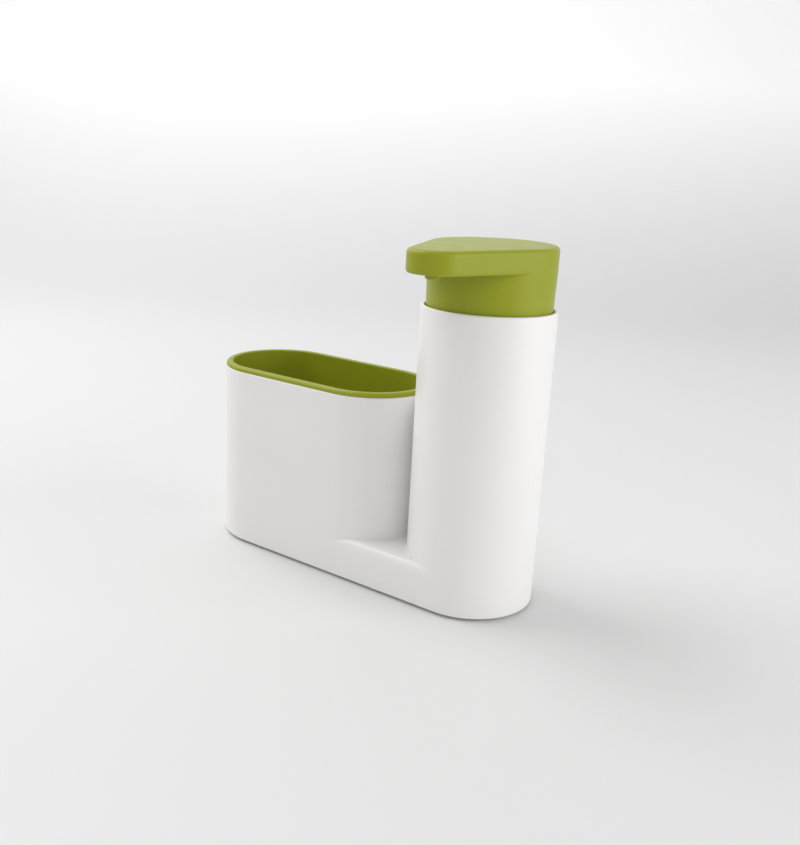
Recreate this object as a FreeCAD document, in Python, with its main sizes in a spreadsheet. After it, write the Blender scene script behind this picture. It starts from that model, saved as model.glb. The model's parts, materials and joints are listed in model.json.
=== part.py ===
import FreeCAD, Part
import math
import os
import re

import Sketcher

# Soap pump caddy. X runs along the caddy from the pot to the tower, the spout points to -Y, Z is up, and the
# origin is on the ground under the middle of the plinth. Lengths are millimetres, angles degrees.
SIZES = {
    # white moulding: plinth, pot casing and tower in one
    "body_length": 210,
    "body_width": 70,
    "foot_drop": 1.6,
    "shell_wall": 2,
    "ledge_height": 22.9,
    "ledge_round": 4.5,
    "pot_height": 104.4,
    "tower_height": 157.75,
    "tower_gap": 3.5,
    "rim_round": 0.7,
    "foot_round": 0.5,
    "deck_height": 11,
    "deck_thickness": 2,
    # base plate, its screws and the foot ring
    "plate_inset": 0.4,
    "plate_thickness": 2,
    "plate_gap": 0.3,
    "screw_spread": 30,
    "screw_diameter": 2.6,
    "screw_head": 5.2,
    "screw_length": 6.5,
    "screw_gap": 0.05,
    "screw_room": 0.5,
    "screw_boss": 7,
    "foot_margin": 1.2,
    "foot_width": 6,
    "foot_seat": 0.6,
    "foot_gap": 0.1,
    # lift-out liner
    "liner_gap": 0.6,
    "liner_wall": 1.8,
    "liner_lift": 3,
    "liner_round": 5,
    "lip_height": 2.6,
    "lip_inset": 0.4,
    "lip_round": 0.9,
    "lip_bead": 1.9,
    "lip_under": 0.4,
    "drain_count": 7,
    "drain_reach": 14.75,
    "drain_width": 3.2,
    "drain_length": 34,
    # soap bottle
    "bottle_gap": 0.7,
    "bottle_wall": 1.4,
    "bottle_round": 6,
    "heel_round": 2.5,
    "neck_recess": 14.75,
    "neck_height": 12,
    "neck_diameter": 28,
    "neck_wall": 2,
    "shoulder_height": 8,
    # collar and gasket
    "gasket_thickness": 1,
    "gasket_gap": 0.2,
    "thread_depth": 0.9,
    "collar_gap": 0.4,
    "collar_wall": 2.8,
    "collar_lip": 1.6,
    "collar_height": 16,
    "collar_round": 0.8,
    "grip_count": 30,
    "grip_width": 1.6,
    # pump cylinder, its cap and valves
    "flange_thickness": 1.6,
    "barrel_bore": 13.6,
    "barrel_wall": 1.4,
    "barrel_length": 46,
    "cap_flange": 1.4,
    "cap_margin": 1.5,
    "guide_wall": 4.4,
    "guide_rise": 4,
    "sleeve_depth": 5.6,
    "fit_gap": 0.05,
    "inlet_ball": 6,
    "outlet_ball": 4.8,
    "ball_room": 0.5,
    "ball_travel": 2,
    "ball_gap": 0.1,
    "seat_land": 1.5,
    "cage_thickness": 2,
    "cage_hole": 2,
    "cage_hole_count": 4,
    # dip tube
    "tube_diameter": 6,
    "tube_bore": 4,
    "tube_grip": 10,
    "tube_socket_wall": 1.6,
    "tube_clear": 2.5,
    # piston, stem and spring
    "press_stroke": 14,
    "press_gap": 0.8,
    "piston_height": 7,
    "piston_lip": 1.6,
    "piston_waist": 1.2,
    "piston_rest_gap": 0.3,
    "stem_diameter": 8,
    "stem_bore": 3.2,
    "stem_step": 1,
    "spring_wire": 1,
    "spring_turns": 8,
    "spring_side_gap": 0.6,
    "spring_end_gap": 0.05,
    # press head
    "head_rise": 31.88,
    "head_gap": 0.7,
    "skirt_flare": 0.5,
    "head_wall": 2,
    "head_plate": 3.2,
    "head_slope": 0.8,
    "head_round": 2.4,
    "skirt_overlap": 10,
    "spout_reach": 64.5,
    "spout_depth": 12.18,
    "spout_round": 1.5,
    "nose_radius": 14.8,
    "hub_wall": 2,
    "hub_step": 1.5,
    "boss_wall": 2,
    "boss_rise": 4,
    "rib_thickness": 1.2,
    "rib_depth": 10,
    # spout duct, nozzle and underplate
    "duct_diameter": 5.2,
    "duct_bore": 3.2,
    "duct_gap": 0.4,
    "nozzle_reach": 53.5,
    "nozzle_diameter": 7.2,
    "nozzle_bore": 3.6,
    "nozzle_drop": 2.45,
    "nozzle_chamfer": 0.6,
    "socket_wall": 1.4,
    "socket_top": 1.2,
    "underplate": 1.6,
    "underplate_gap": 0.15,
    # all cuts run past the faces that they leave by this much
    "overrun": 1,
}

# Radii and half widths
HALF = "(body_width / 2)"
BORE = f"({HALF} - shell_wall)"
PLATE = f"({BORE} - plate_gap)"
FOOT_OUT = f"({PLATE} - foot_margin)"
FOOT_IN = f"({FOOT_OUT} - foot_width)"
LINER = f"({BORE} - liner_gap)"
LIP = f"({HALF} - lip_inset)"
BOTTLE = f"({BORE} - bottle_gap)"
NECK = "(neck_diameter / 2)"
BARREL = "(barrel_bore / 2)"
BARREL_OUT = f"({BARREL} + barrel_wall)"
STEM = "(stem_diameter / 2)"
GUIDE = f"({STEM} + guide_wall)"
COLLAR_IN = f"({NECK} + thread_depth + collar_gap)"
COLLAR = f"({COLLAR_IN} + collar_wall)"
TUBE = "(tube_diameter / 2)"
VALVE = "(inlet_ball / 2 + ball_room)"
SKIRT_FOOT = f"({BORE} - head_gap)"
SKIRT = f"({SKIRT_FOOT} + skirt_flare)"
SKIRT_IN = f"({SKIRT} - head_wall)"
HUB_IN = f"({STEM} + fit_gap)"
HUB = f"({HUB_IN} + hub_wall)"
BOSS_IN = f"({HUB} + fit_gap)"
BOSS = f"({BOSS_IN} + boss_wall)"
NOZZLE = "(nozzle_diameter / 2)"
SOCKET_IN = f"({NOZZLE} + fit_gap)"
SOCKET = f"({SOCKET_IN} + socket_wall)"

# Places along X and Y
TOWER_X = "((body_length - body_width) / 2)"
POT_LEFT = f"(-{TOWER_X})"
POT_RIGHT = f"({TOWER_X} - body_width - tower_gap)"
NOSE_Y = "(nose_radius - spout_reach)"
NOZZLE_Y = "(-nozzle_reach)"
SCREW_PLACES = [(x, y) for x in (POT_LEFT, TOWER_X) for y in ("(-screw_spread / 2)", "(screw_spread / 2)")]

# Heights above the ground
PLATE_Z = "(foot_drop + plate_inset)"
PLATE_TOP_Z = f"({PLATE_Z} + plate_thickness)"
DECK_Z = "(foot_drop + deck_height)"
DECK_UNDER_Z = f"({DECK_Z} - deck_thickness)"
LEDGE_Z = "(foot_drop + ledge_height)"
CASING_Z = "(foot_drop + pot_height)"
RIM_Z = "(foot_drop + tower_height)"
LINER_Z = f"({DECK_Z} + liner_lift)"
NECK_TOP_Z = f"({RIM_Z} - neck_recess)"
NECK_Z = f"({NECK_TOP_Z} - neck_height)"
SHOULDER_Z = f"({NECK_Z} - shoulder_height)"
FLANGE_Z = f"({NECK_TOP_Z} + gasket_thickness)"
FLANGE_TOP_Z = f"({FLANGE_Z} + flange_thickness)"
CAP_TOP_Z = f"({FLANGE_TOP_Z} + cap_flange)"
COLLAR_TOP_Z = f"({CAP_TOP_Z} + collar_lip)"
COLLAR_Z = f"({COLLAR_TOP_Z} - collar_height)"
GUIDE_TOP_Z = f"({CAP_TOP_Z} + guide_rise)"
SLEEVE_Z = f"({FLANGE_TOP_Z} - sleeve_depth)"
PISTON_TOP_Z = f"({SLEEVE_Z} - piston_rest_gap)"
PISTON_Z = f"({PISTON_TOP_Z} - piston_height)"
SEAT_Z = f"({FLANGE_TOP_Z} - barrel_length)"
CAGE_TOP_Z = f"({SEAT_Z} + cage_thickness)"
INLET_Z = f"({SEAT_Z} - ball_travel - inlet_ball / 2)"
CONE_Z = f"({INLET_Z} - ball_gap - inlet_ball / 2 * sqrt(2) + tube_bore / 2)"
TUBE_STOP_Z = f"({CONE_Z} - seat_land)"
TAIL_Z = f"({TUBE_STOP_Z} - tube_grip)"
TUBE_END_Z = f"({DECK_Z} + bottle_wall + tube_clear)"
HEAD_TOP_Z = f"({RIM_Z} + head_rise)"
ROOF_Z = f"({HEAD_TOP_Z} - head_plate)"
SPOUT_Z = f"({HEAD_TOP_Z} - spout_depth)"
SKIRT_Z = f"({RIM_Z} - skirt_overlap)"
HUB_Z = f"({GUIDE_TOP_Z} + press_stroke + press_gap)"
BOSS_Z = f"({HUB_Z} + boss_rise)"
DUCT_Z = f"({ROOF_Z} - duct_gap - duct_diameter / 2)"
STEM_TOP_Z = f"({DUCT_Z} - duct_diameter / 2 - hub_step)"
OUTLET_Z = f"({STEM_TOP_Z} - ball_travel - outlet_ball / 2)"
OUTLET_CONE_Z = f"({OUTLET_Z} - ball_gap - outlet_ball / 2 * sqrt(2) + stem_bore / 2)"
UNDERPLATE_TOP_Z = f"({SPOUT_Z} + underplate)"
NOZZLE_Z = f"({SPOUT_Z} - nozzle_drop)"
SOCKET_TOP_Z = f"({DUCT_Z} + duct_diameter / 2)"
NOZZLE_TOP_Z = f"({SOCKET_TOP_Z} - socket_top)"

NEAR = 0.001
FULL_TURN = 360

doc = FreeCAD.newDocument("soap_pump_caddy")
sheet = doc.addObject("Spreadsheet::Sheet", "Sizes")
for row, (alias, value) in enumerate(SIZES.items(), 1):
    sheet.set(f"A{row}", str(value))
    sheet.setAlias(f"A{row}", alias)
doc.recompute()
nodes = []


def formula(text):
    """A formula in plain size names, as the document's expressions write it."""
    return re.sub(r"[a-z_]+", lambda word: f"Sizes.{word[0]}" if word[0] in SIZES else word[0], text)


def number(text):
    """The present value of a formula."""
    return float(sheet.evalExpression(formula(text)))


def count(alias):
    """A count, which is a whole number."""
    return int(round(number(alias)))


def new_body(label, x="0", y="0"):
    """A body whose own axes stand at x, y."""
    body = doc.addObject("PartDesign::Body", label)
    body.Label = label
    body.setExpression("Placement.Base.x", formula(x))
    body.setExpression("Placement.Base.y", formula(y))
    nodes.append(body)
    return body


def origin_part(body, role):
    return next(part for part in body.Origin.OriginFeatures if part.Role == role)


def new_sketch(body, name, height="0", role="XY_Plane"):
    sketch = body.newObject("Sketcher::SketchObject", f"{body.Label}_{name}")
    sketch.AttachmentSupport = [(origin_part(body, role), "")]
    sketch.MapMode = "FlatFace"
    sketch.setExpression("AttachmentOffset.Base.z", formula(height))
    return sketch


def bind(sketch, constraint, text):
    index = sketch.addConstraint(constraint)
    sketch.setExpression(f"Constraints[{index}]", formula(text))


def pin(sketch, curve, point, x, y):
    """Hold one point of a curve at two formulas."""
    for kind, text, axis in (("DistanceX", x, -2), ("DistanceY", y, -1)):
        if text == "0":
            sketch.addConstraint(Sketcher.Constraint("PointOnObject", curve, point, axis))
        else:
            bind(sketch, Sketcher.Constraint(kind, curve, point, number(text)), text)


def add_circle(sketch, x, y, radius):
    circle = Part.Circle(FreeCAD.Vector(number(x), number(y), 0), FreeCAD.Vector(0, 0, 1), number(radius))
    curve = sketch.addGeometry(circle, False)
    pin(sketch, curve, 3, x, y)
    bind(sketch, Sketcher.Constraint("Radius", curve, number(radius)), radius)


def add_arc(sketch, x, y, radius, start, end):
    """An arc whose centre and radius are held, and whose ends are left to its neighbours."""
    circle = Part.Circle(FreeCAD.Vector(number(x), number(y), 0), FreeCAD.Vector(0, 0, 1), number(radius))
    curve = sketch.addGeometry(Part.ArcOfCircle(circle, start, end), False)
    pin(sketch, curve, 3, x, y)
    bind(sketch, Sketcher.Constraint("Radius", curve, number(radius)), radius)
    return curve


def add_line(sketch, curve_from, curve_to):
    """A line from the end of one curve to the start of the other."""
    line = Part.LineSegment(sketch.Geometry[curve_from].EndPoint, sketch.Geometry[curve_to].StartPoint)
    return sketch.addGeometry(line, False)


def add_wrap(sketch, first, second):
    """The outline of two circles, each (x, y, radius), and the two tangents that wrap them."""
    (x1, y1, r1), (x2, y2, r2) = [[number(text) for text in end] for end in (first, second)]
    heading = math.atan2(y2 - y1, x2 - x1)
    spread = math.acos((r1 - r2) / math.hypot(x2 - x1, y2 - y1))
    back = add_arc(sketch, *first, heading + spread, heading - spread + math.tau)
    front = add_arc(sketch, *second, heading - spread, heading + spread)
    side = add_line(sketch, back, front)
    other_side = add_line(sketch, front, back)
    for one, two in ((back, side), (side, front), (front, other_side), (other_side, back)):
        sketch.addConstraint(Sketcher.Constraint("Tangent", one, 2, two, 1))


def oblong(body, name, left, right, radii, height):
    """An oblong outline with round ends at two x places; two radii make a ring."""
    sketch = new_sketch(body, name, height)
    for radius in radii:
        add_wrap(sketch, (left, "0", radius), (right, "0", radius))
    return sketch


def circles(body, name, places, radii, height):
    sketch = new_sketch(body, name, height)
    for x, y in places:
        for radius in radii:
            add_circle(sketch, x, y, radius)
    return sketch


def polygon(body, name, corners, height="0", role="XY_Plane"):
    """A closed outline of straight sides, each corner given by two formulas."""
    sketch = new_sketch(body, name, height, role)
    points = [FreeCAD.Vector(number(x), number(y), 0) for x, y in corners]
    for index, point in enumerate(points):
        sketch.addGeometry(Part.LineSegment(points[index - 1], point), False)
    for index, (x, y) in enumerate(corners):
        sketch.addConstraint(Sketcher.Constraint("Coincident", index, 2, (index + 1) % len(corners), 1))
        pin(sketch, index, 2, x, y)
    return sketch


def finish_feature(body, feature):
    body.Tip = feature
    doc.recompute()
    return feature


def pad(body, sketch, length):
    """Material from the sketch along its normal."""
    feature = body.newObject("PartDesign::Pad", f"{sketch.Name}_pad")
    feature.Profile = sketch
    feature.setExpression("Length", formula(length))
    return finish_feature(body, feature)


def pocket(body, sketch, depth):
    """A cut from the sketch along its normal."""
    doc.recompute()
    before = body.Shape.Volume
    feature = body.newObject("PartDesign::Pocket", f"{sketch.Name}_cut")
    feature.Profile = sketch
    feature.setExpression("Length", formula(depth))
    feature.Reversed = True
    finish_feature(body, feature)
    if not body.Shape.Volume < before:
        raise ValueError(f"{feature.Name} cuts nothing")
    return feature


def turned(body, name, corners):
    """A solid of revolution about the body's own Z axis, from corners given as radius and height."""
    sketch = polygon(body, name, corners, role="XZ_Plane")
    feature = body.newObject("PartDesign::Revolution", f"{sketch.Name}_turn")
    feature.Profile = sketch
    feature.ReferenceAxis = (sketch, ["V_Axis"])
    feature.Angle = FULL_TURN
    return finish_feature(body, feature)


def tube_corners(inner, outer, low, high):
    return [(inner, low), (outer, low), (outer, high), (inner, high)]


def level_edges(shape, height):
    """The names and edges that lie flat at this height."""
    named = {f"Edge{index}": edge for index, edge in enumerate(shape.Edges, 1)}
    return {name: edge for name, edge in named.items()
            if max(abs(edge.BoundBox.ZMin - height), abs(edge.BoundBox.ZMax - height)) < NEAR}


def edges_at(shape, offset, height):
    """The edges of a round or oblong outline with this radius or half width, at this height."""
    found = []
    for name, edge in level_edges(shape, height).items():
        round_edge = isinstance(edge.Curve, Part.Circle)
        offsets = [edge.Curve.Radius] if round_edge else [abs(vertex.Y) for vertex in edge.Vertexes]
        if all(abs(value - offset) < NEAR for value in offsets):
            found.append(name)
    return found


def dress(body, kind, names, size):
    """A Fillet or Chamfer on the named edges of the body's last feature."""
    last = body.Tip
    feature = body.newObject(f"PartDesign::{kind}", f"{body.Label}_{kind.lower()}")
    feature.Base = (last, names)
    feature.setExpression("Radius" if kind == "Fillet" else "Size", formula(size))
    return finish_feature(body, feature)


def round_edges(body, size, spots):
    names = [name for spot in spots for name in edges_at(body.Tip.Shape, number(spot[0]), number(spot[1]))]
    return dress(body, "Fillet", names, size)


def polar_pattern(body, feature, alias):
    pattern = body.newObject("PartDesign::PolarPattern", f"{feature.Name}_ring")
    pattern.Originals = [feature]
    pattern.Axis = (origin_part(body, "Z_Axis"), [""])
    pattern.Angle = FULL_TURN
    pattern.setExpression("Occurrences", formula(alias))
    return finish_feature(body, pattern)


def make_body_shell():
    body = new_body("body_shell")
    pad(body, oblong(body, "plinth", POT_LEFT, TOWER_X, [HALF], "foot_drop"), "ledge_height")
    round_edges(body, "ledge_round", [(HALF, LEDGE_Z)])
    pad(body, oblong(body, "casing", POT_LEFT, POT_RIGHT, [HALF], "foot_drop"), "pot_height")
    pad(body, circles(body, "tower", [(TOWER_X, "0")], [HALF], "foot_drop"), "tower_height")
    round_edges(body, "rim_round", [(HALF, RIM_Z), (HALF, CASING_Z)])
    round_edges(body, "foot_round", [(HALF, "foot_drop")])
    pocket(body, oblong(body, "pot_hollow", POT_LEFT, POT_RIGHT, [BORE], DECK_Z), "pot_height")
    pocket(body, circles(body, "tower_hollow", [(TOWER_X, "0")], [BORE], DECK_Z), "tower_height")
    round_edges(body, "rim_round", [(BORE, RIM_Z)])
    pocket(body, oblong(body, "underside", POT_LEFT, TOWER_X, [BORE], "foot_drop"), "deck_height - deck_thickness")
    pocket(body, ledge_core(body), f"{LEDGE_Z} - shell_wall - {DECK_UNDER_Z}")
    bosses = circles(body, "bosses", SCREW_PLACES, ["screw_boss / 2"], PLATE_TOP_Z)
    pad(body, bosses, f"{DECK_UNDER_Z} - {PLATE_TOP_Z}")
    pilots = circles(body, "pilots", SCREW_PLACES, ["screw_diameter / 2 + screw_gap"], PLATE_TOP_Z)
    pocket(body, pilots, "screw_length - plate_thickness + screw_room")


def ledge_core(body):
    """The hollow under the ledge, between the round ends of the pot and the tower."""
    sketch = new_sketch(body, "ledge_core", DECK_UNDER_Z)
    spread = math.asin(number(BORE) / number(HALF))
    pot_end = add_arc(sketch, POT_RIGHT, "0", HALF, -spread, spread)
    tower_end = add_arc(sketch, TOWER_X, "0", HALF, math.pi - spread, math.pi + spread)
    back = add_line(sketch, pot_end, tower_end)
    front = add_line(sketch, tower_end, pot_end)
    for one, two in ((pot_end, back), (back, tower_end), (tower_end, front), (front, pot_end)):
        sketch.addConstraint(Sketcher.Constraint("Coincident", one, 2, two, 1))
    for line, side in ((back, BORE), (front, f"(-{BORE})")):
        for point in (1, 2):
            bind(sketch, Sketcher.Constraint("DistanceY", line, point, number(side)), side)
    return sketch


def make_base_plate():
    body = new_body("base_plate")
    pad(body, oblong(body, "plate", POT_LEFT, TOWER_X, [PLATE], PLATE_Z), "plate_thickness")
    groove_sides = [f"{FOOT_OUT} + foot_gap", f"{FOOT_IN} - foot_gap"]
    pocket(body, oblong(body, "foot_groove", POT_LEFT, TOWER_X, groove_sides, PLATE_Z), "foot_seat")
    hole = "(screw_diameter / 2 + screw_gap)"
    pocket(body, circles(body, "screw_holes", SCREW_PLACES, [hole], PLATE_Z), "plate_thickness + overrun")
    rims = edges_at(body.Tip.Shape, number(hole), number(PLATE_Z))
    dress(body, "Chamfer", rims, "(screw_head - screw_diameter) / 2")


def make_base_screws():
    """Four countersunk screws, each a head cone and a plain shank."""
    screws = []
    for index, (x, y) in enumerate(SCREW_PLACES):
        head = doc.addObject("Part::Cone", f"screw_head_{index}")
        head.setExpression("Radius1", formula("screw_head / 2"))
        head.setExpression("Radius2", formula("screw_diameter / 2"))
        head.setExpression("Height", formula("(screw_head - screw_diameter) / 2"))
        shank = doc.addObject("Part::Cylinder", f"screw_shank_{index}")
        shank.setExpression("Radius", formula("screw_diameter / 2"))
        shank.setExpression("Height", formula("screw_length"))
        for piece in (head, shank):
            for axis, place in zip("xyz", (x, y, PLATE_Z)):
                piece.setExpression(f"Placement.Base.{axis}", formula(place))
        screw = doc.addObject("Part::Fuse", f"screw_{index}")
        screw.Base = head
        screw.Tool = shank
        screws.append(screw)
    group = doc.addObject("Part::Compound", "base_screws")
    group.Links = screws
    group.Label = "base_screws"
    nodes.append(group)


def make_foot_ring():
    body = new_body("foot_ring")
    pad(body, oblong(body, "ring", POT_LEFT, TOWER_X, [FOOT_OUT, FOOT_IN], "0"), f"{PLATE_Z} + foot_seat")


def make_liner_pot():
    body = new_body("liner_pot")
    inside = f"({LINER} - liner_wall)"
    floor = f"({LINER_Z} + liner_wall)"
    top = f"({CASING_Z} + lip_height)"
    pad(body, oblong(body, "wall", POT_LEFT, POT_RIGHT, [LINER], LINER_Z), f"{CASING_Z} - {LINER_Z}")
    round_edges(body, "liner_round", [(LINER, LINER_Z)])
    pad(body, oblong(body, "lip", POT_LEFT, POT_RIGHT, [LIP], CASING_Z), "lip_height")
    pocket(body, oblong(body, "hollow", POT_LEFT, POT_RIGHT, [inside], floor), f"{top} - {floor} + overrun")
    round_edges(body, "liner_round - liner_wall", [(inside, floor)])
    round_edges(body, "lip_bead", [(LIP, top)])
    round_edges(body, "lip_round", [(inside, top)])
    round_edges(body, "lip_under", [(LIP, CASING_Z)])
    drains = new_sketch(body, "drains", LINER_Z)
    half = "((drain_length - drain_width) / 2)"
    first = f"({POT_LEFT} - drain_reach)"
    pitch = f"({POT_RIGHT} + drain_reach - {first}) / (drain_count - 1)"
    for index in range(count("drain_count")):
        x = f"{first} + {index} * {pitch}"
        add_wrap(drains, (x, f"(-{half})", "drain_width / 2"), (x, half, "drain_width / 2"))
    pocket(body, drains, "liner_wall + overrun")


def make_soap_bottle():
    body = new_body("soap_bottle", TOWER_X)
    inside = f"({BOTTLE} - bottle_wall)"
    mouth = f"({NECK} - neck_wall)"
    turned(body, "section", [
        ("0", DECK_Z), (BOTTLE, DECK_Z), (BOTTLE, SHOULDER_Z), (NECK, NECK_Z), (NECK, NECK_TOP_Z),
        (mouth, NECK_TOP_Z), (mouth, f"{NECK_Z} - bottle_wall"), (inside, f"{SHOULDER_Z} - bottle_wall"),
        (inside, f"{DECK_Z} + bottle_wall"), ("0", f"{DECK_Z} + bottle_wall"),
    ])
    round_edges(body, "bottle_round", [(BOTTLE, SHOULDER_Z)])
    round_edges(body, "heel_round", [(BOTTLE, DECK_Z)])


def make_neck_gasket():
    body = new_body("neck_gasket", TOWER_X)
    turned(body, "section", tube_corners(f"{BARREL_OUT} + gasket_gap", NECK, NECK_TOP_Z, FLANGE_Z))


def make_pump_cylinder():
    body = new_body("pump_cylinder", TOWER_X)
    tail = f"({TUBE} + tube_socket_wall)"
    grip = f"({TUBE} + fit_gap)"
    turned(body, "section", [
        (BARREL, FLANGE_TOP_Z), (NECK, FLANGE_TOP_Z), (NECK, FLANGE_Z), (BARREL_OUT, FLANGE_Z),
        (BARREL_OUT, SEAT_Z), (tail, CONE_Z), (tail, TAIL_Z), (grip, TAIL_Z), (grip, TUBE_STOP_Z),
        ("tube_bore / 2", TUBE_STOP_Z), ("tube_bore / 2", CONE_Z),
        (VALVE, f"{CONE_Z} + {VALVE} - tube_bore / 2"), (VALVE, SEAT_Z), (BARREL, SEAT_Z),
    ])


def make_cylinder_cap():
    body = new_body("cylinder_cap", TOWER_X)
    guide_in = f"({STEM} + fit_gap)"
    flange = f"({NECK} - cap_margin)"
    plug = f"({BARREL} - fit_gap)"
    turned(body, "section", [
        (guide_in, GUIDE_TOP_Z), (GUIDE, GUIDE_TOP_Z), (GUIDE, CAP_TOP_Z), (flange, CAP_TOP_Z),
        (flange, FLANGE_TOP_Z), (plug, FLANGE_TOP_Z), (plug, SLEEVE_Z), (guide_in, SLEEVE_Z),
    ])


def make_pump_collar():
    body = new_body("pump_collar", TOWER_X)
    hole = f"({GUIDE} + collar_gap)"
    turned(body, "section", [
        (COLLAR_IN, COLLAR_Z), (COLLAR, COLLAR_Z), (COLLAR, COLLAR_TOP_Z), (hole, COLLAR_TOP_Z),
        (hole, CAP_TOP_Z), (COLLAR_IN, CAP_TOP_Z),
    ])
    round_edges(body, "collar_round", [(COLLAR, COLLAR_TOP_Z)])
    groove = circles(body, "grip", [(COLLAR, "0")], ["grip_width / 2"], COLLAR_Z)
    polar_pattern(body, pocket(body, groove, "collar_height - 2 * collar_round"), "grip_count")


def make_valve_cage():
    body = new_body("valve_cage", TOWER_X)
    disc = circles(body, "disc", [("0", "0")], [f"{BARREL} - fit_gap"], SEAT_Z)
    pad(body, disc, "cage_thickness")
    hole = circles(body, "hole", [(f"{VALVE} - cage_hole / 2", "0")], ["cage_hole / 2"], SEAT_Z)
    polar_pattern(body, pocket(body, hole, "cage_thickness + overrun"), "cage_hole_count")


def make_ball(label, diameter, height):
    ball = doc.addObject("Part::Sphere", label)
    ball.Label = label
    ball.setExpression("Radius", formula(f"{diameter} / 2"))
    ball.setExpression("Placement.Base.x", formula(TOWER_X))
    ball.setExpression("Placement.Base.z", formula(height))
    nodes.append(ball)


def make_dip_tube():
    """A plain tube whose lower end is cut at 45 degrees."""
    body = new_body("dip_tube", TOWER_X)
    ring = circles(body, "ring", [("0", "0")], [TUBE, "tube_bore / 2"], TUBE_END_Z)
    pad(body, ring, f"{TUBE_STOP_Z} - {TUBE_END_Z}")
    far = f"({TUBE} + overrun)"
    slant = polygon(body, "slant", [
        (f"(-{far})", f"{TUBE_END_Z} - overrun"), (far, f"{TUBE_END_Z} - overrun"),
        (far, f"{TUBE_END_Z} + tube_diameter + overrun"),
    ], f"(-{far})", "XZ_Plane")
    pocket(body, slant, f"2 * {far}")


def make_piston():
    body = new_body("piston", TOWER_X)
    inside = f"({STEM} - stem_step + fit_gap)"
    lip = f"({BARREL} - fit_gap)"
    waist = f"({lip} - piston_waist)"
    turned(body, "section", [
        (inside, PISTON_Z), (lip, PISTON_Z), (lip, f"{PISTON_Z} + piston_lip"),
        (waist, f"{PISTON_Z} + piston_lip"), (waist, f"{PISTON_TOP_Z} - piston_lip"),
        (lip, f"{PISTON_TOP_Z} - piston_lip"), (lip, PISTON_TOP_Z), (inside, PISTON_TOP_Z),
    ])


def make_pump_stem():
    body = new_body("pump_stem", TOWER_X)
    bore = "(stem_bore / 2)"
    chamber = "(outlet_ball / 2 + ball_room)"
    spigot = f"({STEM} - stem_step)"
    turned(body, "section", [
        (bore, PISTON_Z), (spigot, PISTON_Z), (spigot, PISTON_TOP_Z), (STEM, PISTON_TOP_Z),
        (STEM, STEM_TOP_Z), (chamber, STEM_TOP_Z), (chamber, f"{OUTLET_CONE_Z} + {chamber} - {bore}"),
        (bore, OUTLET_CONE_Z),
    ])


def biarc(start, start_way, end, end_way):
    """Two arcs that meet smoothly and join two points along two unit directions."""
    span = end - start
    ways = start_way + end_way
    turn = 2 * (1 - start_way.dot(end_way))
    along = span.dot(ways)
    reach = (math.sqrt(along**2 + turn * span.dot(span)) - along) / turn
    corners = [start + start_way * reach, end - end_way * reach]
    meeting = (corners[0] + corners[1]) * 0.5
    arcs = []
    for one, corner, two in ((start, corners[0], meeting), (meeting, corners[1], end)):
        middle = (one + two) * 0.5
        chord = (two - one).Length / 2
        rise = corner - middle
        sag = chord * math.tan(math.atan2(rise.Length, chord) / 2)
        arcs.append(Part.Arc(one, middle + rise.normalize() * sag, two).toShape())
    return arcs


def make_return_spring():
    """An open coil spring between the valve cage and the piston."""
    wire = number("spring_wire")
    radius = number(BARREL) - number("spring_side_gap") - wire / 2
    low = number(CAGE_TOP_Z) + number("spring_end_gap") + wire / 2
    high = number(PISTON_Z) - number("spring_end_gap") - wire / 2
    turns = number("spring_turns")
    pitch = (high - low) / turns

    def point(angle):
        return FreeCAD.Vector(radius * math.cos(angle), radius * math.sin(angle), low + pitch * angle / math.tau)

    def way(angle):
        across = FreeCAD.Vector(-math.sin(angle), math.cos(angle), 0) * radius
        return (across + FreeCAD.Vector(0, 0, pitch / math.tau)).normalize()

    step = math.pi / 2
    angles = [index * step for index in range(int(round(turns * math.tau / step)) + 1)]
    arcs = []
    for first, last in zip(angles, angles[1:]):
        arcs += biarc(point(first), way(first), point(last), way(last))
    section = Part.Wire(Part.Circle(point(0), way(0), wire / 2).toShape())
    coil = Part.Wire(arcs).makePipeShell([section], True, False)
    samples = [point(angle) for angle in angles]
    turn = int(round(math.tau / step))
    gaps = [(b - a).Length - wire for i, a in enumerate(samples) for b in samples[i + turn // 2:]]
    print(f"return_spring: least gap to itself {min(gaps):.2f} mm")
    spring = doc.addObject("Part::Feature", "return_spring")
    spring.Label = "return_spring"
    spring.Shape = coil
    spring.Placement = FreeCAD.Placement(FreeCAD.Vector(number(TOWER_X), 0, 0), FreeCAD.Rotation())
    nodes.append(spring)


def teardrop(body, name, inset, height):
    """The head's plan: the skirt's circle drawn out to the spout's round nose."""
    sketch = new_sketch(body, name, height)
    add_wrap(sketch, ("0", "0", f"{SKIRT} - {inset}"), ("0", NOSE_Y, f"nose_radius - {inset}"))
    return sketch


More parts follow.
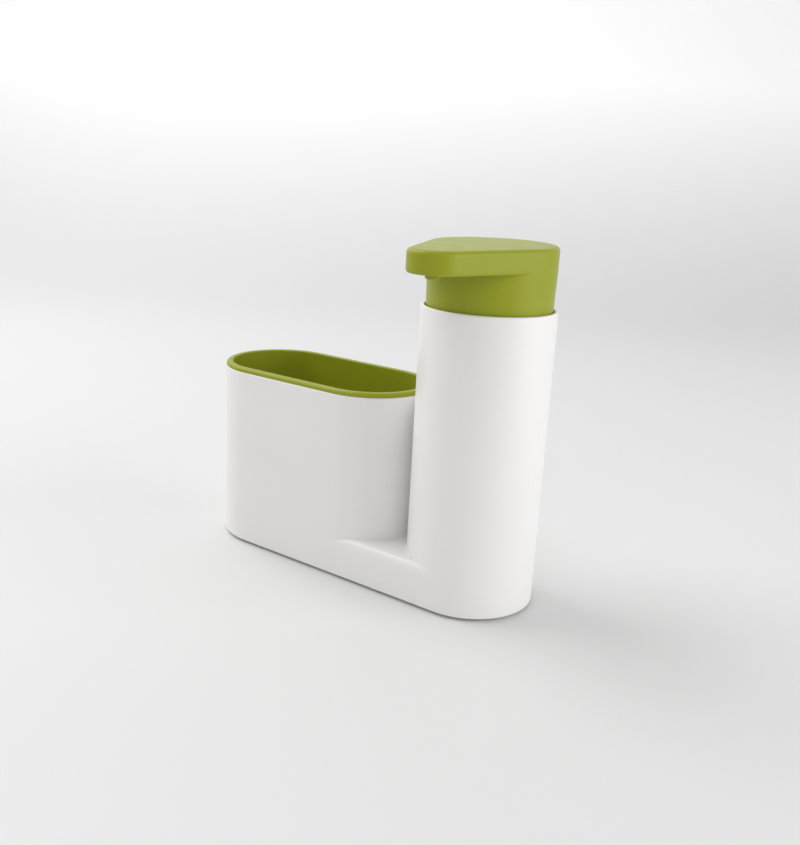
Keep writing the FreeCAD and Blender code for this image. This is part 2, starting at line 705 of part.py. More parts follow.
def make_press_head():
    body = new_body("press_head", TOWER_X)
    uncut = f"({HEAD_TOP_Z} + {SKIRT})"
    pad(body, teardrop(body, "spout", "0", SPOUT_Z), f"{uncut} - {SPOUT_Z}")
    dress(body, "Fillet", list(level_edges(body.Tip.Shape, number(SPOUT_Z))), "spout_round")
    turned(body, "skirt", [
        ("0", SKIRT_Z), (SKIRT_FOOT, SKIRT_Z), (SKIRT_FOOT, RIM_Z), (SKIRT, SPOUT_Z), (SKIRT, uncut), ("0", uncut),
    ])
    far = f"({SKIRT} + spout_reach)"
    fall = f"{far} * tan(head_slope)"
    slope = polygon(body, "slope", [
        (f"(-{far})", f"{HEAD_TOP_Z} - {fall}"), (far, f"{HEAD_TOP_Z} + {fall}"),
        (far, f"{uncut} + overrun"), (f"(-{far})", f"{uncut} + overrun"),
    ], f"(-{far})", "YZ_Plane")
    pocket(body, slope, f"2 * {far}")
    top = max(body.Tip.Shape.Faces, key=lambda face: face.CenterOfMass.z)
    outline = [f"Edge{i}" for i, edge in enumerate(body.Tip.Shape.Edges, 1)
               if any(edge.isSame(other) for other in top.OuterWire.Edges)]
    dress(body, "Fillet", outline, "head_round")
    pocket(body, teardrop(body, "spout_hollow", "head_wall", SPOUT_Z), f"{ROOF_Z} - {SPOUT_Z}")
    pocket(body, circles(body, "skirt_hollow", [("0", "0")], [SKIRT_IN], SKIRT_Z), f"{ROOF_Z} - {SKIRT_Z}")
    pad(body, circles(body, "boss", [("0", "0")], [BOSS, BOSS_IN], BOSS_Z), f"{ROOF_Z} - {BOSS_Z}")
    half_slot = "(duct_diameter / 2 + duct_gap)"
    slot = polygon(body, "duct_slot", [
        (f"(-{half_slot})", f"(-{BOSS} - overrun)"), (half_slot, f"(-{BOSS} - overrun)"),
        (half_slot, "0"), (f"(-{half_slot})", "0"),
    ], BOSS_Z)
    pocket(body, slot, f"{ROOF_Z} - {BOSS_Z}")
    add_head_ribs(body)


def add_head_ribs(body):
    """Three ribs from the boss to the skirt: left, right and back."""
    inner = f"({BOSS_IN} + boss_wall / 2)"
    outer = f"({SKIRT} - head_wall / 2)"
    half = "(rib_thickness / 2)"
    height = f"({ROOF_Z} - rib_depth)"
    ribs = {
        "left": (f"(-{outer})", f"(-{half})", f"(-{inner})", half),
        "right": (inner, f"(-{half})", outer, half),
        "back": (f"(-{half})", inner, half, outer),
    }
    for side, (x1, y1, x2, y2) in ribs.items():
        corners = [(x1, y1), (x2, y1), (x2, y2), (x1, y2)]
        pad(body, polygon(body, f"rib_{side}", corners, height), "rib_depth")


def make_spout_duct():
    body = new_body("spout_duct", TOWER_X)
    bore = "(duct_bore / 2)"
    turned(body, "hub", [
        (HUB_IN, HUB_Z), (HUB, HUB_Z), (HUB, ROOF_Z), ("0", ROOF_Z), ("0", DUCT_Z), (bore, DUCT_Z),
        (bore, STEM_TOP_Z), (HUB_IN, STEM_TOP_Z),
    ])
    run = new_sketch(body, "run", bore, "XZ_Plane")
    add_circle(run, "0", DUCT_Z, "duct_diameter / 2")
    pad(body, run, f"nozzle_reach - {bore}")
    socket = circles(body, "socket", [("0", NOZZLE_Y)], [SOCKET], f"{UNDERPLATE_TOP_Z} + underplate_gap")
    pad(body, socket, f"{SOCKET_TOP_Z} - {UNDERPLATE_TOP_Z} - underplate_gap")
    channel = new_sketch(body, "channel", "0", "XZ_Plane")
    add_circle(channel, "0", DUCT_Z, bore)
    pocket(body, channel, "nozzle_reach")
    mouth = circles(body, "mouth", [("0", NOZZLE_Y)], [SOCKET_IN], f"{UNDERPLATE_TOP_Z} - overrun")
    pocket(body, mouth, f"{NOZZLE_TOP_Z} - {UNDERPLATE_TOP_Z} + overrun")


def make_nozzle_tip():
    body = new_body("nozzle_tip", TOWER_X, NOZZLE_Y)
    turned(body, "section", tube_corners("nozzle_bore / 2", NOZZLE, NOZZLE_Z, NOZZLE_TOP_Z))
    dress(body, "Chamfer", edges_at(body.Tip.Shape, number(NOZZLE), number(NOZZLE_Z)), "nozzle_chamfer")
    inlet = new_sketch(body, "inlet", f"(-{NOZZLE} - overrun)", "XZ_Plane")
    add_circle(inlet, "0", DUCT_Z, "duct_bore / 2")
    pocket(body, inlet, f"{NOZZLE} + overrun")


def make_spout_underplate():
    body = new_body("spout_underplate", TOWER_X)
    pad(body, teardrop(body, "plate", "(head_wall + underplate_gap)", SPOUT_Z), "underplate")
    back = circles(body, "back", [("0", "0")], [f"{SKIRT} - head_wall / 2"], SPOUT_Z)
    pocket(body, back, "underplate + overrun")
    hole = circles(body, "hole", [("0", NOZZLE_Y)], [f"{NOZZLE} + underplate_gap"], SPOUT_Z)
    pocket(body, hole, "underplate + overrun")


make_body_shell()
make_base_plate()
make_base_screws()
make_foot_ring()
make_liner_pot()
make_soap_bottle()
make_neck_gasket()
make_pump_cylinder()
make_cylinder_cap()
make_pump_collar()
make_valve_cage()
make_ball("inlet_ball", "inlet_ball", INLET_Z)
make_dip_tube()
make_return_spring()
make_piston()
make_pump_stem()
make_ball("outlet_ball", "outlet_ball", OUTLET_Z)
make_press_head()
make_spout_duct()
make_nozzle_tip()
make_spout_underplate()
doc.recompute()

for item in doc.Objects:
    if "Invalid" in item.State or "Error" in item.State:
        raise ValueError(f"{item.Name} failed: {item.State}")
for node in nodes:
    if node.Shape.isNull() or not node.Shape.isValid():
        raise ValueError(f"{node.Label} has no valid shape")
os.makedirs("parts", exist_ok=True)
for node in nodes:
    node.Shape.exportStep(f"parts/{node.Label}.step")
    box = node.Shape.BoundBox
    print(f"{node.Label}: {len(node.Shape.Solids)} solid, {node.Shape.Volume / 1000:.2f} cm3, "
          f"z {box.ZMin:.2f} to {box.ZMax:.2f}")
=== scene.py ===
"""Looks of the soap pump caddy: finishes, fine marks on its pieces, the studio and the camera."""

import json
import math

import bmesh
import bpy
from mathutils import Matrix, Vector


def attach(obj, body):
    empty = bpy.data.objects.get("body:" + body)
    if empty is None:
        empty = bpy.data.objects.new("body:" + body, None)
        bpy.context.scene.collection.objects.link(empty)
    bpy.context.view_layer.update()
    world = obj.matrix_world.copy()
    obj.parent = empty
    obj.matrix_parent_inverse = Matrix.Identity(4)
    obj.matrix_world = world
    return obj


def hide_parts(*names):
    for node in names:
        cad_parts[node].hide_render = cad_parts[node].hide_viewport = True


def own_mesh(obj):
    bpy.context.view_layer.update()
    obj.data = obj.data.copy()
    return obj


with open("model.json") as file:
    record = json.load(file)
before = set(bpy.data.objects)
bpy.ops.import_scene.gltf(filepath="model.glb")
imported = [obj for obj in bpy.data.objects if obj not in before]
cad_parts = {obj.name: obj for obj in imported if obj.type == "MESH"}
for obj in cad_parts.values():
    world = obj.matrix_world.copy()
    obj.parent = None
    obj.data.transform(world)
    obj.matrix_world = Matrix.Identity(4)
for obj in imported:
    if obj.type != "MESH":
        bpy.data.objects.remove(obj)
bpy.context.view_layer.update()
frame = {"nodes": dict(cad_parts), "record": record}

MM = 0.001
TURN = math.tau
SHARP_ANGLE = math.radians(30)

# Camera, as fitted to the photograph, with its focal length in pixels of that frame
FRAME_PIXELS = (800, 845)
FOCAL_PIXELS = 902.342
SENSOR_WIDTH_MM = 36
CAMERA_PLACE_MM = (299.07, -398.65, 224.96)
CAMERA_YAW, CAMERA_PITCH, CAMERA_ROLL = (math.radians(angle) for angle in (35.152, 15.771, 2.979))
NEAREST_VIEW_MM = 10

# Floor and backdrop, in metres: the floor's near edge, where it starts to bend up, the bend's radius,
# the top of the wall and half the width
FLOOR_NEAR, FLOOR_FAR, FLOOR_BEND, WALL_TOP, FLOOR_HALF = -3.0, 0.9, 1.2, 4.0, 4.0
BEND_STEPS = 24
# The floor's colour, and the wall's lighter colour, which is painted light on the backdrop
FLOOR_COLOUR, WALL_COLOUR = "E2E2E2", "FBFBFB"
FLOOR_ROUGHNESS = 0.55
# The wall has its full painted lightness and painted glow from this height, and the glow changes over this
# reach to each side
FULL_GLOW_HEIGHT = 0.45
GLOW_REACH = 1.0
# Painted glow of the wall at its left and at its right, brighter to the left
GLOW_LEFT, GLOW_RIGHT = 0.38, 0.26

# Studio light, in metres and watts: each soft box has its place and its power
SURROUND_STRENGTH = 0.46
LIGHT_TARGET = (0.02, 0, 0.08)
SOFT_BOX_SIZE = 1.2
SOFT_BOXES = {
    "high_left_box": ((-1.0, -0.2, 1.3), 14.8),
    "right_box": ((1.4, 0.35, 0.45), 11.1),
    "front_box": ((0.5, -1.3, 0.9), 2.2),
}

# Most values of a noise pattern lie between these two
NOISE_LOW, NOISE_HIGH = 0.3, 0.7

# Places and sizes on the part, in millimetres
TOWER_X_MM = 70
POT_END_X_MM = -3.5
WALL_RADIUS_MM = 35
LEDGE_LEVEL_MM = 24.5

SCREW_SPREAD_MM = (140, 30)
SCREW_LEVEL_MM = 2
SCREW_HEAD_MM = 5.2
SCREW_SHANK_MM = 2.6
SCREW_LENGTH_MM = 6.5
SCREW_SIDES = 40
# The cross recess, as shares of the head's radius, and how far it narrows towards its floor
RECESS_ARM_SHARE, RECESS_HALF_SHARE, RECESS_DEPTH_SHARE = 0.55, 0.13, 0.5
RECESS_FLOOR_SHARE = 0.7

# The cove dips a little into wall and ledge, and its hidden corner lies further back in them
COVE_RADIUS_MM = 1.6
COVE_DIP_MM = 0.02
COVE_BACK_MM = -0.2
COVE_REACH = math.radians(57)
COVE_POINTS = 97
COVE_ROUND_STEPS = 8
# From its middle, each cove starts to narrow and ends at these shares of its length, and this much is left
COVE_FADE_SHARE, COVE_END_SHARE = 0.2, 0.5
COVE_LEFT_SHARE = 0.03

NECK_RADIUS_MM = 14
NECK_LEVEL_MM = 132.6
THREAD_LEVEL_MM = 135.2
THREAD_PITCH_MM = 3
THREAD_TURNS = 2.2
THREAD_BEAD_MM = 0.75
THREAD_PROUD_MM = 0.7

SPRING_LEVEL_MM = 103.24
SPRING_LENGTH_MM = 31.02
SPRING_RADIUS_MM = 5.7
SPRING_WIRE_MM = 1
SPRING_TURNS = 8

STEPS_A_TURN = 48
BEAD_SIDES = 12

BOTTLE_RADIUS_MM = 32.3
HEEL_LEVEL_MM = 15.1
SHOULDER_LEVEL_MM = 124.6
SHOULDER_ROUND_MM = 6
SHOULDER_STEPS = 10
SEAM_BEAD_MM = 0.2
SEAM_SIDES = 8


def linear(hex_colour):
    """An sRGB hex value as linear red, green, blue and alpha."""
    channels = [int(hex_colour[i:i + 2], 16) / 255 for i in (0, 2, 4)]
    return [c / 12.92 if c <= 0.04045 else ((c + 0.055) / 1.055) ** 2.4 for c in channels] + [1.0]


def per(size_mm):
    """The texture scale whose features are this many millimetres across."""
    return 1 / (size_mm * MM)


def add_node(tree, kind, inputs=None, **settings):
    """A node with its settings, and its inputs set to values or linked from other sockets."""
    node = tree.nodes.new(kind)
    for name, value in settings.items():
        setattr(node, name, value)
    for name, value in (inputs or {}).items():
        if isinstance(value, bpy.types.NodeSocket):
            tree.links.new(value, node.inputs[name])
        else:
            node.inputs[name].default_value = value
    return node


def new_material(name):
    """An empty node material, with the place on the piece that its patterns read."""
    material = bpy.data.materials.new(name)
    material.use_nodes = True
    material.node_tree.nodes.clear()
    place = add_node(material.node_tree, "ShaderNodeTexCoord").outputs["Object"]
    return material, material.node_tree, place


def moulded_plastic(name, colours, rough, grain_mm, grain_depth_mm, flow_mm, ior, **sockets):
    """Moulded plastic: two close shades that drift with the melt's flow, gloss that varies with handling,
    and the fine grain of the mould, drawn coarser than the real tenth of a millimetre so that it shows."""
    material, tree, place = new_material(name)
    flow = add_node(tree, "ShaderNodeTexNoise", {"Vector": place, "Scale": per(flow_mm), "Detail": 3.0})
    shade = add_node(tree, "ShaderNodeMix", {
        "Factor": flow.outputs["Fac"], "A": linear(colours[0]), "B": linear(colours[1]),
    }, data_type="RGBA")
    handling = add_node(tree, "ShaderNodeTexNoise", {
        "Vector": place, "Scale": per(flow_mm / 3), "Detail": 4.0,
    })
    gloss = add_node(tree, "ShaderNodeMapRange", {
        "Value": handling.outputs["Fac"], "From Min": NOISE_LOW, "From Max": NOISE_HIGH,
        "To Min": rough[0], "To Max": rough[1],
    })
    grain = add_node(tree, "ShaderNodeTexNoise", {"Vector": place, "Scale": per(grain_mm), "Detail": 2.0})
    bump = add_node(tree, "ShaderNodeBump", {
        "Height": grain.outputs["Fac"], "Strength": 1.0, "Distance": grain_depth_mm * MM,
    })
    shader = add_node(tree, "ShaderNodeBsdfPrincipled", {
        "Base Color": shade.outputs["Result"], "Roughness": gloss.outputs["Result"],
        "Normal": bump.outputs["Normal"], "IOR": ior, **sockets,
    })
    add_node(tree, "ShaderNodeOutputMaterial", {"Surface": shader.outputs["BSDF"]})
    return material


def drawn_steel(name, colour, rough, line_mm, line_depth_mm, line_stretch):
    """Bright drawn steel: fine lines along the drawing direction break its reflections."""
    material, tree, place = new_material(name)
    stretched = add_node(tree, "ShaderNodeMapping", {"Vector": place, "Scale": (1.0, 1.0, line_stretch)})
    lines = add_node(tree, "ShaderNodeTexNoise", {
        "Vector": stretched.outputs["Vector"], "Scale": per(line_mm), "Detail": 3.0,
    })
    gloss = add_node(tree, "ShaderNodeMapRange", {
        "Value": lines.outputs["Fac"], "From Min": NOISE_LOW, "From Max": NOISE_HIGH,
        "To Min": rough[0], "To Max": rough[1],
    })
    bump = add_node(tree, "ShaderNodeBump", {"Height": lines.outputs["Fac"], "Distance": line_depth_mm * MM})
    shader = add_node(tree, "ShaderNodeBsdfPrincipled", {
        "Base Color": linear(colour), "Metallic": 1.0, "Roughness": gloss.outputs["Result"],
        "Normal": bump.outputs["Normal"],
    })
    add_node(tree, "ShaderNodeOutputMaterial", {"Surface": shader.outputs["BSDF"]})
    return material


# Satin moulded ABS: an even white with soft, wide highlights
WHITE_ABS = moulded_plastic(
    "white_abs_satin_moulded", colours=("F3F1F0", "F7F5F4"), rough=(0.30, 0.38),
    grain_mm=0.7, grain_depth_mm=0.006, flow_mm=45, ior=1.53,
)
# Fine-satin moulded polypropylene, dyed right through: strong colour with little glare, paler only at a
# glancing angle
GREEN_PP = moulded_plastic(
    "green_pp_satin_moulded", colours=("969D1F", "9AA122"), rough=(0.36, 0.44),
    grain_mm=0.6, grain_depth_mm=0.008, flow_mm=30, ior=1.49, **{"Specular IOR Level": 0.3},
)
# Moulded polypropylene with white pigment: a milky white whose thin edges let some light in
WHITE_PP = moulded_plastic(
    "white_pp_moulded", colours=("E4E4E1", "EAEAE7"), rough=(0.36, 0.46),
    grain_mm=0.6, grain_depth_mm=0.008, flow_mm=20, ior=1.49,
    **{"Subsurface Weight": 0.15, "Subsurface Scale": 2 * MM},
)
# Moulded polypropylene without pigment: a pale haze that shows what lies behind as a blur
NATURAL_PP = moulded_plastic(
    "natural_pp_moulded", colours=("E6E8E4", "EEF0EC"), rough=(0.28, 0.36),
    grain_mm=0.6, grain_depth_mm=0.006, flow_mm=16, ior=1.49,
    **{"Transmission Weight": 0.25, "Subsurface Weight": 0.2, "Subsurface Scale": 2 * MM},
)
# Blown polyethylene: milky, letting light through softly, with the slight unevenness of a blown wall
BLOWN_PE = moulded_plastic(
    "natural_pe_blown", colours=("EEF1F0", "F5F7F6"), rough=(0.30, 0.42),
    grain_mm=1.2, grain_depth_mm=0.02, flow_mm=25, ior=1.51,
    **{"Transmission Weight": 0.15, "Subsurface Weight": 0.35, "Subsurface Scale": 3 * MM},
)
# Moulded rubber: matt, pale grey, with hardly a highlight
GREY_RUBBER = moulded_plastic(
    "grey_rubber_moulded", colours=("C6C6C4", "CDCDCB"), rough=(0.62, 0.75),
    grain_mm=0.5, grain_depth_mm=0.02, flow_mm=12, ior=1.52,
)
# Drawn steel: bright, with reflections broken into fine lines
STEEL = drawn_steel(
    "bright_steel_drawn", colour="C6C7C9", rough=(0.18, 0.34),
    line_mm=0.25, line_depth_mm=0.004, line_stretch=0.08,
)

FINISHES = {
    "white_abs": WHITE_ABS, "green_pp": GREEN_PP, "white_pp": WHITE_PP, "natural_pp": NATURAL_PP,
    "clear_pe": BLOWN_PE, "grey_rubber": GREY_RUBBER, "steel": STEEL,
}


def finish_cad_nodes():
    """Each CAD node takes the finish of its record's slot."""
    for part in frame["record"]["subparts"]:
        mesh = frame["nodes"][part["node"]].data
        mesh.materials.clear()
        mesh.materials.append(FINISHES[part["material_slot"]])


def new_piece(name, mesh, slot):
    """A mesh as a piece of the scene, with the finish of a slot."""
    piece = bpy.data.objects.new(name, mesh)
    bpy.context.scene.collection.objects.link(piece)
    if not mesh.materials:
        mesh.materials.append(FINISHES[slot])
    return piece


def tree_with(name, sizes):
    """A Geometry Nodes tree with a named input for each size, and those inputs."""
    tree = bpy.data.node_groups.new(name, "GeometryNodeTree")
    tree.interface.new_socket("Geometry", in_out="INPUT", socket_type="NodeSocketGeometry")
    for label in sizes:
        tree.interface.new_socket(label, in_out="INPUT", socket_type="NodeSocketFloat")
    tree.interface.new_socket("Geometry", in_out="OUTPUT", socket_type="NodeSocketGeometry")
    return tree, add_node(tree, "NodeGroupInput").outputs


def finish_tree(tree, geometry, material):
    """Ends a tree in real geometry with its finish."""
    realized = add_node(tree, "GeometryNodeRealizeInstances", {"Geometry": geometry})
    finished = add_node(tree, "GeometryNodeSetMaterial", {
        "Geometry": realized.outputs[0], "Material": material,
    })
    add_node(tree, "NodeGroupOutput", {"Geometry": finished.outputs[0]})


def run_tree(name, tree, base_mesh, sizes, slot):
    """The tree's result on a base mesh, with these sizes, as a plain piece whose faces point outwards."""
    holder = bpy.data.objects.new(name + "_tree", base_mesh)
    bpy.context.scene.collection.objects.link(holder)
    modifier = holder.modifiers.new("nodes", "NODES")
    modifier.node_group = tree
    for socket in tree.interface.items_tree:
        if socket.in_out == "INPUT" and socket.name in sizes:
            modifier[socket.identifier] = float(sizes[socket.name])
    evaluated = holder.evaluated_get(bpy.context.evaluated_depsgraph_get())
    mesh = bpy.data.meshes.new_from_object(evaluated)
    bpy.data.objects.remove(holder)
    mesh.name = name
    bm = bmesh.new()
    bm.from_mesh(mesh)
    bmesh.ops.recalc_face_normals(bm, faces=bm.faces)
    bm.to_mesh(mesh)
    bm.free()
    mesh.shade_smooth()
    mesh.set_sharp_from_angle(angle=SHARP_ANGLE)
    return new_piece(name, mesh, slot)


def line_mesh(name, points_mm, closed=False):
    """A mesh of edges through points, for a tree to follow or sweep."""
    count = len(points_mm)
    edges = [(i, (i + 1) % count) for i in range(count if closed else count - 1)]
    mesh = bpy.data.meshes.new(name)
    mesh.from_pydata([Vector(point) * MM for point in points_mm], edges, [])
    return mesh


def arc_points(centre, radius, start, end, steps):
    """Points on an arc in a plane, both ends included."""
    angles = [start + (end - start) * i / steps for i in range(steps + 1)]
    return [(centre[0] + radius * math.cos(angle), centre[1] + radius * math.sin(angle)) for angle in angles]


def screw_mesh():
    """A countersunk screw, head down at the origin, with a cross recess in its head."""
    head, shank, length = (size * MM for size in (SCREW_HEAD_MM / 2, SCREW_SHANK_MM / 2, SCREW_LENGTH_MM))
    arm, half, depth = (
        share * head for share in (RECESS_ARM_SHARE, RECESS_HALF_SHARE, RECESS_DEPTH_SHARE)
    )
    cross = [(half, half), (half, arm), (-half, arm), (-half, half), (-arm, half), (-arm, -half),
             (-half, -half), (-half, -arm), (half, -arm), (half, -half), (arm, -half), (arm, half)]
    bm = bmesh.new()
    rings = []
    for radius, level in ((head, 0), (shank, head - shank), (shank, length)):
        outline = arc_points((0, 0), radius, 0, TURN, SCREW_SIDES)[:-1]
        rings.append([bm.verts.new((x, y, level)) for x, y in outline])
    recess = [[bm.verts.new((x * share, y * share, level)) for x, y in cross]
              for share, level in ((1, 0), (RECESS_FLOOR_SHARE, depth))]
    for lower, upper in ((rings[0], rings[1]), (rings[1], rings[2]), (recess[0], recess[1])):
        for i in range(len(lower)):
            j = (i + 1) % len(lower)
            bm.faces.new((lower[i], lower[j], upper[j], upper[i]))
    bm.faces.new(rings[2])
    bm.faces.new(recess[1])
    rims = [edge for edge in bm.edges if all(v in rings[0] or v in recess[0] for v in edge.verts)]
    bmesh.ops.triangle_fill(bm, use_beauty=True, edges=rims)
    bmesh.ops.recalc_face_normals(bm, faces=bm.faces)
    mesh = bpy.data.meshes.new("screw")
    bm.to_mesh(mesh)
    bm.free()
    return mesh


def make_base_screws():
    """Four cross-head screws at the corners of a rectangle."""
    sizes = {"Spread X": SCREW_SPREAD_MM[0] * MM, "Spread Y": SCREW_SPREAD_MM[1] * MM}
    tree, given = tree_with("base_screws", sizes)
    corners = add_node(tree, "GeometryNodeMeshGrid", {
        "Size X": given["Spread X"], "Size Y": given["Spread Y"], "Vertices X": 2, "Vertices Y": 2,
    })
    raised = add_node(tree, "GeometryNodeTransform", {
        "Geometry": corners.outputs["Mesh"], "Translation": (0, 0, SCREW_LEVEL_MM * MM),
    })
    copies = add_node(tree, "GeometryNodeInstanceOnPoints", {
        "Points": raised.outputs["Geometry"], "Instance": given["Geometry"],
    })
    finish_tree(tree, copies.outputs["Instances"], STEEL)
    screws = run_tree("cross_head_screws", tree, screw_mesh(), sizes, "steel")
    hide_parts("base_screws")
    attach(screws, "caddy")


def wound_piece(name, radius_mm, bead_mm, turns, rise_mm, level_mm, slot):
    """A round bead wound upwards about the tower's axis."""
    sizes = {"Radius": radius_mm * MM, "Bead": bead_mm * MM, "Turns": turns, "Rise": rise_mm * MM}
    tree, given = tree_with(name, sizes)
    helix = add_node(tree, "GeometryNodeCurveSpiral", {
        "Resolution": STEPS_A_TURN, "Rotations": given["Turns"],
        "Start Radius": given["Radius"], "End Radius": given["Radius"], "Height": given["Rise"],
    })
    profile = add_node(tree, "GeometryNodeCurvePrimitiveCircle", {
        "Resolution": BEAD_SIDES, "Radius": given["Bead"],
    })
    bead = add_node(tree, "GeometryNodeCurveToMesh", {
        "Curve": helix.outputs["Curve"], "Profile Curve": profile.outputs["Curve"], "Fill Caps": True,
    })
    placed = add_node(tree, "GeometryNodeTransform", {
        "Geometry": bead.outputs["Mesh"], "Translation": (TOWER_X_MM * MM, 0, level_mm * MM),
    })
    finish_tree(tree, placed.outputs["Geometry"], FINISHES[slot])
    return run_tree(name, tree, bpy.data.meshes.new(name + "_base"), sizes, slot)


def make_neck_thread():
    """The raised thread round the bottle's neck."""
    thread = wound_piece(
        "neck_thread", radius_mm=NECK_RADIUS_MM + THREAD_PROUD_MM - THREAD_BEAD_MM, bead_mm=THREAD_BEAD_MM,
        turns=THREAD_TURNS, rise_mm=THREAD_TURNS * THREAD_PITCH_MM, level_mm=THREAD_LEVEL_MM, slot="clear_pe",
    )
    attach(thread, "bottle")


def make_coil_spring():
    """The return spring, drawn at rest; the real one closes up towards the valve cage as the head goes down.
    """
    wire_radius = SPRING_WIRE_MM / 2
    spring = wound_piece(
        "coil_spring", radius_mm=SPRING_RADIUS_MM, bead_mm=wire_radius, turns=SPRING_TURNS,
        rise_mm=SPRING_LENGTH_MM - SPRING_WIRE_MM, level_mm=SPRING_LEVEL_MM + wire_radius, slot="steel",
    )
    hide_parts("return_spring")
    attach(spring, "pump")
    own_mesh(spring)


def make_ledge_coves():
    """The soft inside corners where the ledge meets the pot casing and the tower. Each follows its round wall
    and fades out before the ledge's rounded front and back edges."""
    inset = COVE_RADIUS_MM - COVE_DIP_MM
    hollow = arc_points((inset, inset), COVE_RADIUS_MM, math.pi, 1.5 * math.pi, COVE_ROUND_STEPS)
    corners = [(inset, COVE_BACK_MM), (COVE_BACK_MM, COVE_BACK_MM), (COVE_BACK_MM, inset)]
    # A swept section's own y points down along an arc that runs to the left
    section = line_mesh("cove_section", [(out, -up, 0) for out, up in hollow + corners], closed=True)
    sizes = {"Wall Radius": WALL_RADIUS_MM * MM, "Reach": COVE_REACH}
    tree, given = tree_with("ledge_coves", sizes)
    start = add_node(tree, "ShaderNodeMath", {0: given["Reach"], 1: -1.0}, operation="MULTIPLY")
    sweep = add_node(tree, "ShaderNodeMath", {0: given["Reach"], 1: 2.0}, operation="MULTIPLY")
    wall = add_node(tree, "GeometryNodeCurveArc", {
        "Resolution": COVE_POINTS, "Radius": given["Wall Radius"],
        "Start Angle": start.outputs[0], "Sweep Angle": sweep.outputs[0],
    })
    along = add_node(tree, "GeometryNodeSplineParameter").outputs["Factor"]
    from_middle = add_node(tree, "ShaderNodeMath", {0: along, 1: 0.5}, operation="SUBTRACT")
    to_end = add_node(tree, "ShaderNodeMath", {0: from_middle.outputs[0]}, operation="ABSOLUTE")
    fade = add_node(tree, "ShaderNodeMapRange", {
        "Value": to_end.outputs[0], "From Min": COVE_FADE_SHARE, "From Max": COVE_END_SHARE,
        "To Min": 1.0, "To Max": COVE_LEFT_SHARE,
    }, interpolation_type="SMOOTHSTEP")
    faded = add_node(tree, "GeometryNodeSetCurveRadius", {
        "Curve": wall.outputs["Curve"], "Radius": fade.outputs["Result"],
    })
    outline = add_node(tree, "GeometryNodeMeshToCurve", {"Mesh": given["Geometry"]})
    cove = add_node(tree, "GeometryNodeCurveToMesh", {
        "Curve": faded.outputs["Curve"], "Profile Curve": outline.outputs["Curve"], "Fill Caps": True,
    })
    both = add_node(tree, "GeometryNodeJoinGeometry")
    for x_mm, facing in ((POT_END_X_MM, 0.0), (TOWER_X_MM, math.pi)):
        placed = add_node(tree, "GeometryNodeTransform", {
            "Geometry": cove.outputs["Mesh"],
            "Translation": (x_mm * MM, 0, LEDGE_LEVEL_MM * MM), "Rotation": (0, 0, facing),
        })
        tree.links.new(placed.outputs["Geometry"], both.inputs["Geometry"])
    finish_tree(tree, both.outputs["Geometry"], WHITE_ABS)
    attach(run_tree("ledge_coves", tree, section, sizes, "white_abs"), "caddy")


def make_bottle_seams():
    """The mould's parting line up both sides of the blown bottle, over its shoulder to the neck."""
    slope = math.atan2(NECK_LEVEL_MM - SHOULDER_LEVEL_MM, NECK_RADIUS_MM - BOTTLE_RADIUS_MM)
    turn = slope - math.pi / 2
    turn_level = SHOULDER_LEVEL_MM - SHOULDER_ROUND_MM * math.tan(turn / 2)
    turn_centre = (BOTTLE_RADIUS_MM - SHOULDER_ROUND_MM, turn_level)
    shoulder = arc_points(turn_centre, SHOULDER_ROUND_MM, 0, turn, SHOULDER_STEPS)
    outline = [(BOTTLE_RADIUS_MM, HEEL_LEVEL_MM), *shoulder, (NECK_RADIUS_MM, NECK_LEVEL_MM)]
    path = line_mesh("seam_path", [(out, 0, level) for out, level in outline])
    sizes = {"Bead": SEAM_BEAD_MM * MM}
    tree, given = tree_with("bottle_seams", sizes)
    line = add_node(tree, "GeometryNodeMeshToCurve", {"Mesh": given["Geometry"]})
    profile = add_node(tree, "GeometryNodeCurvePrimitiveCircle", {
        "Resolution": SEAM_SIDES, "Radius": given["Bead"],
    })
    seam = add_node(tree, "GeometryNodeCurveToMesh", {
        "Curve": line.outputs["Curve"], "Profile Curve": profile.outputs["Curve"], "Fill Caps": True,
    })
    both = add_node(tree, "GeometryNodeJoinGeometry")
    for facing in (0.0, math.pi):
        placed = add_node(tree, "GeometryNodeTransform", {
            "Geometry": seam.outputs["Mesh"],
            "Translation": (TOWER_X_MM * MM, 0, 0), "Rotation": (0, 0, facing),
        })
        tree.links.new(placed.outputs["Geometry"], both.inputs["Geometry"])
    finish_tree(tree, both.outputs["Geometry"], BLOWN_PE)
    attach(run_tree("bottle_seams", tree, path, sizes, "clear_pe"), "bottle")


def make_studio():
    """A plain pale floor that sweeps up behind the part, soft lights and the photograph's camera."""
    scene = bpy.context.scene
    scene.view_settings.view_transform = "Standard"
    turn = Matrix.Rotation(CAMERA_YAW, 4, "Z")
    camera_data = bpy.data.cameras.new("camera")
    camera_data.sensor_width = SENSOR_WIDTH_MM
    camera_data.lens = FOCAL_PIXELS * SENSOR_WIDTH_MM / max(FRAME_PIXELS)
    camera_data.clip_start = NEAREST_VIEW_MM * MM
    camera = bpy.data.objects.new("camera", camera_data)
    scene.collection.objects.link(camera)
    tilt = Matrix.Rotation(math.pi / 2 - CAMERA_PITCH, 4, "X")
    roll = Matrix.Rotation(CAMERA_ROLL, 4, "Z")
    camera.matrix_world = Matrix.Translation(Vector(CAMERA_PLACE_MM) * MM) @ turn @ tilt @ roll
    scene.camera = camera
    make_floor(turn)
    make_lights()


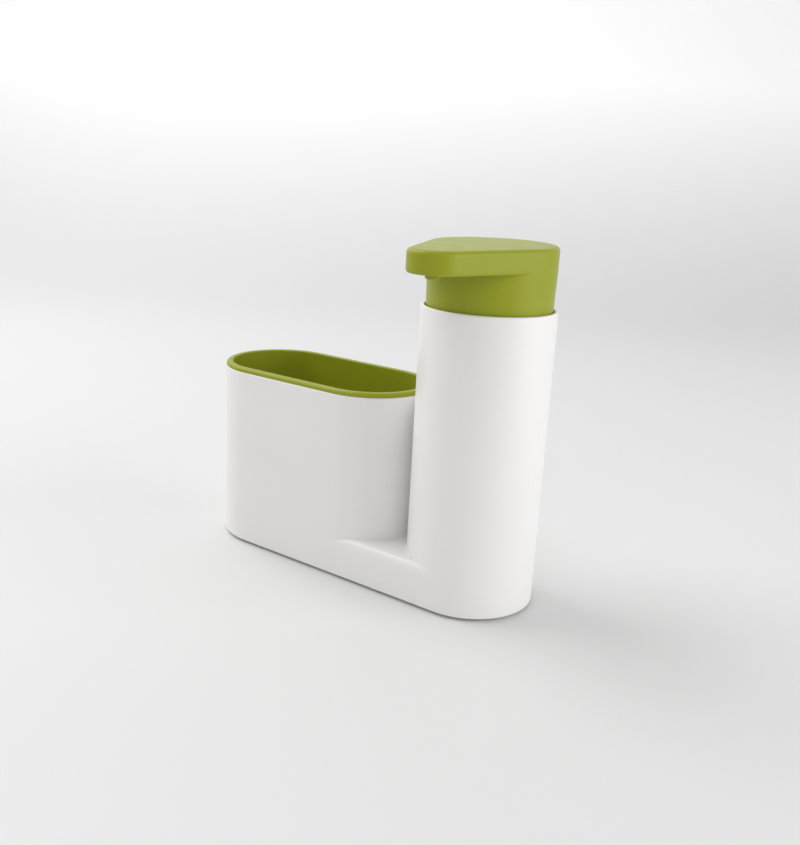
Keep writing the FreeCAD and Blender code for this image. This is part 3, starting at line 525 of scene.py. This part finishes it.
def floor_material(turn):
    """A matt pale floor painted lighter up the wall, where it also has a painted glow standing in for light,
    stronger to the left.
    """
    material, tree, place = new_material("pale_floor_painted_glow")
    height = add_node(tree, "ShaderNodeSeparateXYZ", {"Vector": place}).outputs["Z"]
    # Painted light: the wall is painted lighter than the floor from this height up
    upper = add_node(tree, "ShaderNodeMapRange", {
        "Value": height, "From Min": 0.0, "From Max": FULL_GLOW_HEIGHT,
    })
    shade = add_node(tree, "ShaderNodeMix", {
        "Factor": upper.outputs["Result"], "A": linear(FLOOR_COLOUR), "B": linear(WALL_COLOUR),
    }, data_type="RGBA")
    # Painted light: the wall glows, more to the left than to the right
    across = add_node(tree, "ShaderNodeVectorMath", {0: place, 1: turn.col[0].xyz}, operation="DOT_PRODUCT")
    lit = add_node(tree, "ShaderNodeMapRange", {
        "Value": across.outputs["Value"], "From Min": -GLOW_REACH, "From Max": GLOW_REACH,
        "To Min": GLOW_LEFT, "To Max": GLOW_RIGHT,
    })
    glow = add_node(tree, "ShaderNodeMath", {
        0: upper.outputs["Result"], 1: lit.outputs["Result"],
    }, operation="MULTIPLY")
    shader = add_node(tree, "ShaderNodeBsdfPrincipled", {
        "Base Color": shade.outputs["Result"], "Roughness": FLOOR_ROUGHNESS,
        "Emission Color": linear("FFFFFF"), "Emission Strength": glow.outputs[0],
    })
    add_node(tree, "ShaderNodeOutputMaterial", {"Surface": shader.outputs["BSDF"]})
    return material


def make_floor(turn):
    """A floor whose back curves up into a wall."""
    bend = arc_points((FLOOR_FAR, FLOOR_BEND), FLOOR_BEND, -math.pi / 2, 0, BEND_STEPS)
    profile = [(FLOOR_NEAR, 0.0), *bend, (FLOOR_FAR + FLOOR_BEND, WALL_TOP)]
    bm = bmesh.new()
    rows = [[bm.verts.new((side, y, z)) for side in (-FLOOR_HALF, FLOOR_HALF)] for y, z in profile]
    for low, high in zip(rows, rows[1:]):
        bm.faces.new((low[0], low[1], high[1], high[0]))
    mesh = bpy.data.meshes.new("floor")
    bm.to_mesh(mesh)
    bm.free()
    mesh.transform(turn)
    mesh.shade_smooth()
    mesh.materials.append(floor_material(turn))
    floor = bpy.data.objects.new("floor", mesh)
    bpy.context.scene.collection.objects.link(floor)


def make_lights():
    """A pale surround, a high soft box to the left, one low to the right and a weak one in front."""
    scene = bpy.context.scene
    world = bpy.data.worlds.new("soft_surround")
    world.use_nodes = True
    surround = world.node_tree.nodes["Background"]
    surround.inputs["Color"].default_value = linear("FFFFFF")
    surround.inputs["Strength"].default_value = SURROUND_STRENGTH
    scene.world = world
    for name, (place, power) in SOFT_BOXES.items():
        light = bpy.data.lights.new(name, "AREA")
        light.size = SOFT_BOX_SIZE
        light.energy = power
        lamp = bpy.data.objects.new(name, light)
        lamp.location = place
        lamp.rotation_euler = (Vector(LIGHT_TARGET) - Vector(place)).to_track_quat("-Z", "Y").to_euler()
        scene.collection.objects.link(lamp)


finish_cad_nodes()
make_base_screws()
make_neck_thread()
make_coil_spring()
make_ledge_coves()
make_bottle_seams()
make_studio()
